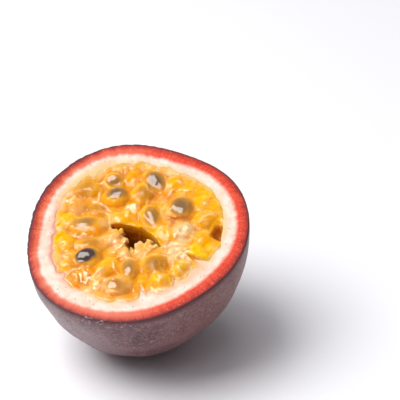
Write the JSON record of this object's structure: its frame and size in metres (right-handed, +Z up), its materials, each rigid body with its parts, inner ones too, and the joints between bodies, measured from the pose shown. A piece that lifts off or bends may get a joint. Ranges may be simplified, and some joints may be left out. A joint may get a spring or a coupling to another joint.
{
  "type": "passion fruit half",
  "caption": "Half of a purple passion fruit, cut across: smooth purple peel with red rind and white pith round a hollow filled with seeded yellow pulp.",
  "frame": {"origin": "on the surface the half lies on, under the middle of its box, with the small resting flat of the peel at z = 0", "axes": "+Z up; -Y forward, the side that the cut face is tipped towards; +X to the right"},
  "size_m": [0.0578, 0.0584, 0.0454],
  "materials": {
    "peel": "satin purple skin with fine pale speckles; coral-red rind and matt cream-white pith at the cut",
    "pulp": "wet translucent yellow-orange seed sacs and juice over dark seeds"
  },
  "bodies": {
    "root": {"peel": "peel", "pulp": "pulp"}
  },
  "joints": []
}
